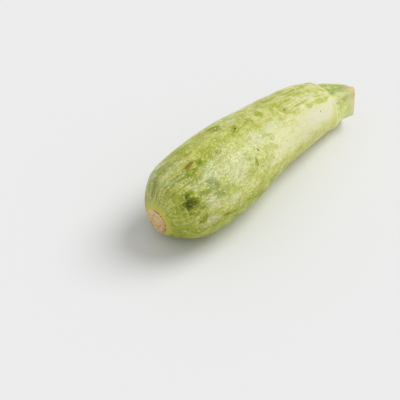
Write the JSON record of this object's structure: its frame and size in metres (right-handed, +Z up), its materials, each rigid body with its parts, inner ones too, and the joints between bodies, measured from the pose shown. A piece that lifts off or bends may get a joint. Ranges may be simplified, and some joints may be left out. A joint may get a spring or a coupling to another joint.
{
  "type": "courgette",
  "caption": "Pale green marrow-type courgette lying on its side, thick and rounded at the blossom scar and narrowing to a ribbed, cut stalk.",
  "frame": {"origin": "on the surface the courgette lies on, under the middle of its bounding box", "axes": "+X along the fruit from the blossom end to the stalk end, +Z up"},
  "size_m": [0.1942, 0.0602, 0.0588],
  "materials": {
    "skin": "satin, waxy vegetable skin, pale yellow-green with fine lighter flecks and green mottling",
    "stalk": "dull, finely fibrous green stalk, dried and tan at its cut end"
  },
  "bodies": {
    "root": {"fruit": "skin", "stem": "stalk"}
  },
  "joints": []
}
